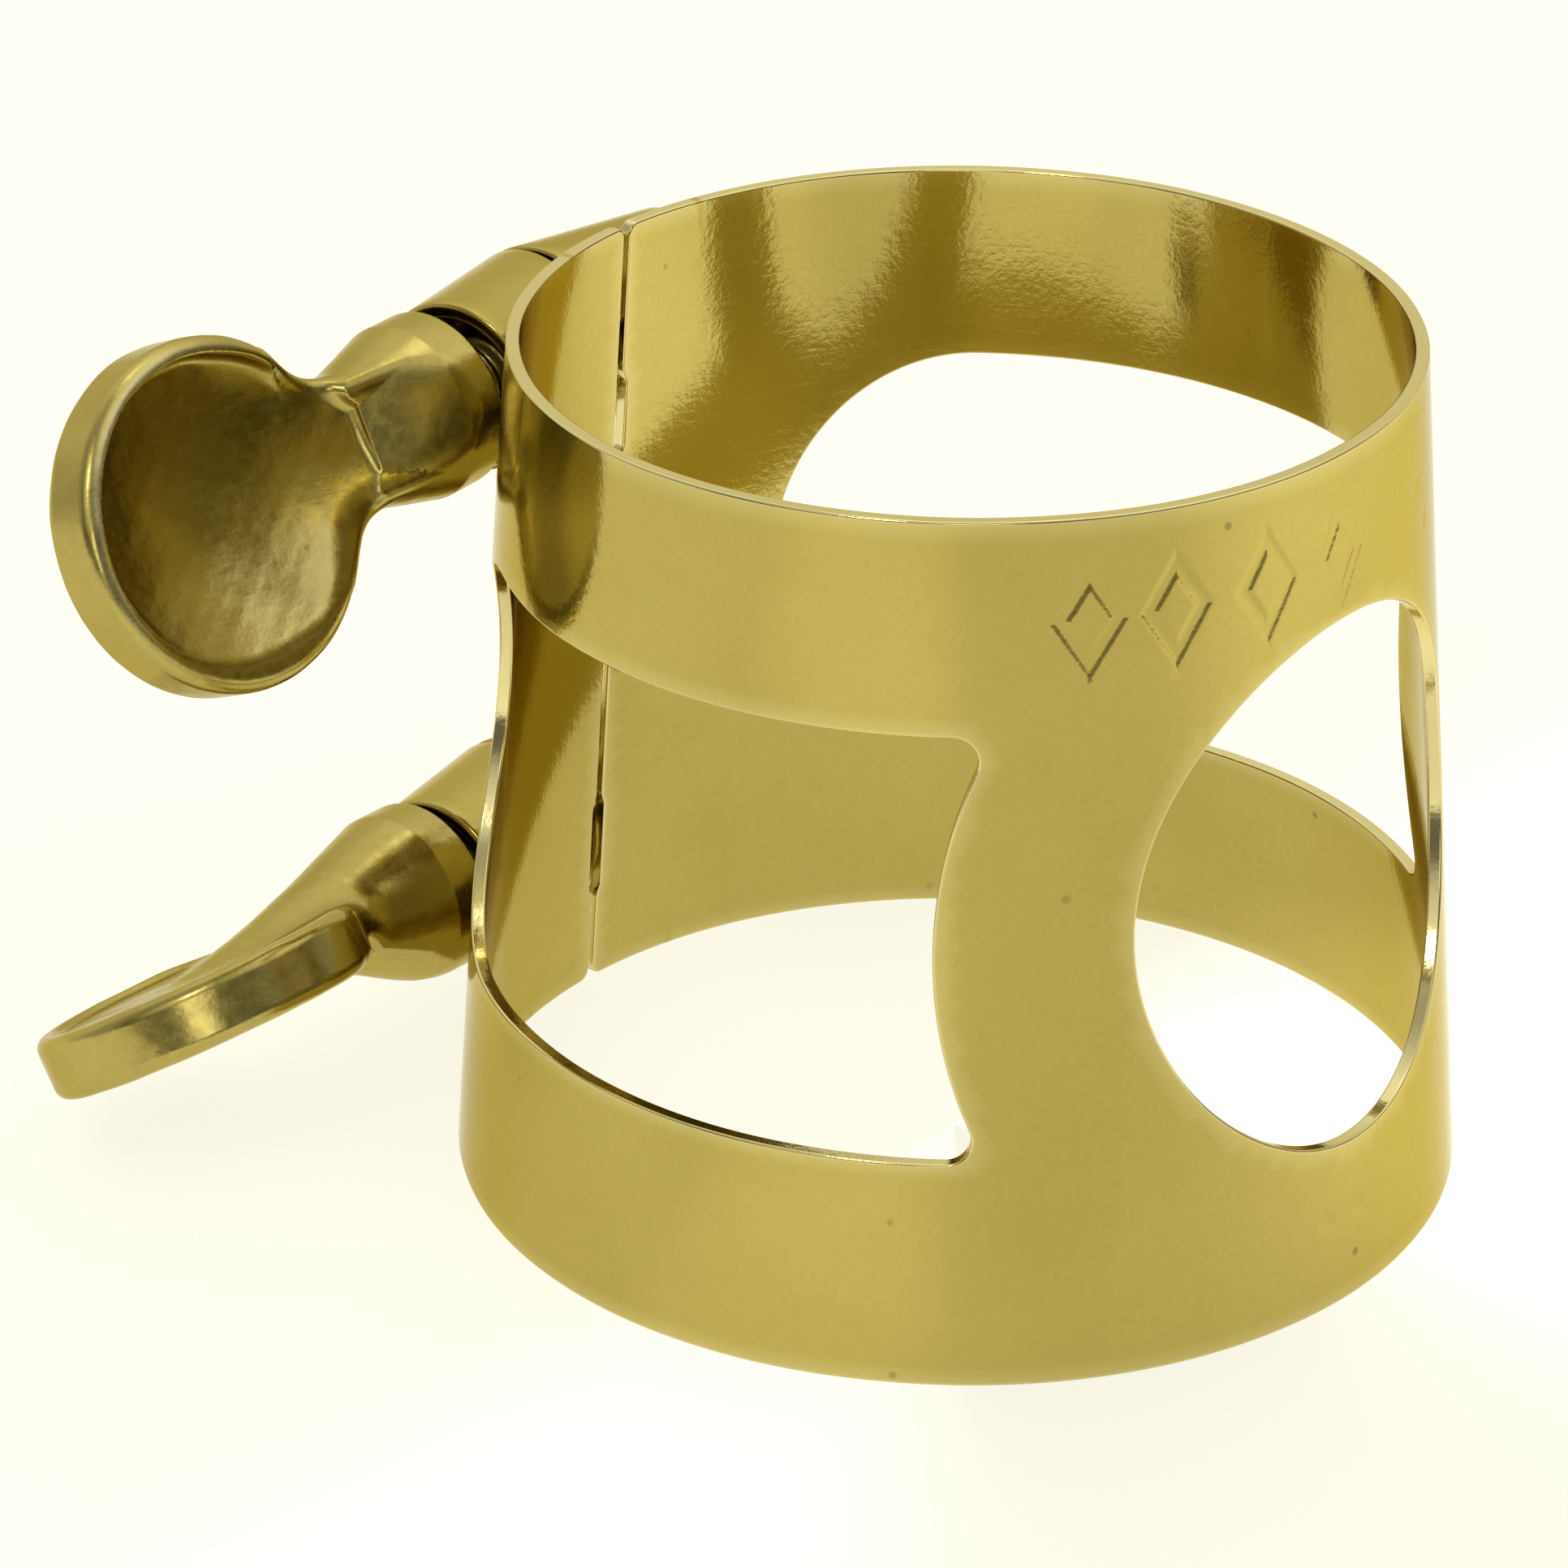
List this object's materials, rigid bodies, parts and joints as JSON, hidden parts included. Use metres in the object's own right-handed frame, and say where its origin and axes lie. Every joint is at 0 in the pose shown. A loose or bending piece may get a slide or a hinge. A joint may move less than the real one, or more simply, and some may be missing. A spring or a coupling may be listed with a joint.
{
  "type": "saxophone ligature",
  "caption": "Conical sheet-brass saxophone ligature with open windows, soldered barrels and thumbscrews that close its gap round a mouthpiece and reed.",
  "frame": {"origin": "on the band's axis, in the plane of the wide rim that it stands on", "axes": "+Z along the band's axis towards the narrow rim; +Y towards the gap and the barrels; +X along the screws from the thumb heads to their tips"},
  "size_m": [0.0339, 0.0355, 0.025],
  "materials": {
    "band_sheet": "thin lacquered sheet, smooth with soft reflections",
    "barrel_brass": "lacquered tube",
    "cast_head": "lacquered casting, faintly pitted",
    "threaded_rod": "cut thread, bare metal",
    "solder": "smooth solder under lacquer"
  },
  "bodies": {
    "near_half": {"band_near_half": "band_sheet", "upper_head_barrel": "barrel_brass", "lower_head_barrel": "barrel_brass", "upper_head_barrel_solder": "solder", "lower_head_barrel_solder": "solder"},
    "far_half": {"band_far_half": "band_sheet", "upper_threaded_barrel": "barrel_brass", "lower_threaded_barrel": "barrel_brass", "upper_threaded_barrel_solder": "solder", "lower_threaded_barrel_solder": "solder"},
    "upper_thumbscrew": {"upper_thumb_head": "cast_head", "upper_screw_shank": "threaded_rod"},
    "lower_thumbscrew": {"lower_thumb_head": "cast_head", "lower_screw_shank": "threaded_rod"}
  },
  "joints": [
    {"name": "upper_screw_turn", "type": "hinge", "parent": "near_half", "child": "upper_thumbscrew", "pos_m": [0, 0.0153, 0.02075], "axis": [-0.9986, 0, -0.0523], "range_deg": [0, 1260]},
    {"name": "lower_screw_turn", "type": "hinge", "parent": "near_half", "child": "lower_thumbscrew", "pos_m": [0, 0.01651, 0.00425], "axis": [-1, 0, 0], "range_deg": [0, 1260]},
    {"name": "band_open", "type": "hinge", "parent": "near_half", "child": "far_half", "pos_m": [0, -0.01452, 0.0125], "axis": [0, 0, -1], "range_deg": [0, 4]}
  ],
  "couplings": [
    {"joint": "lower_screw_turn", "follows": "upper_screw_turn", "ratio": 1},
    {"joint": "band_open", "follows": "upper_screw_turn", "ratio": 0.003139}
  ]
}
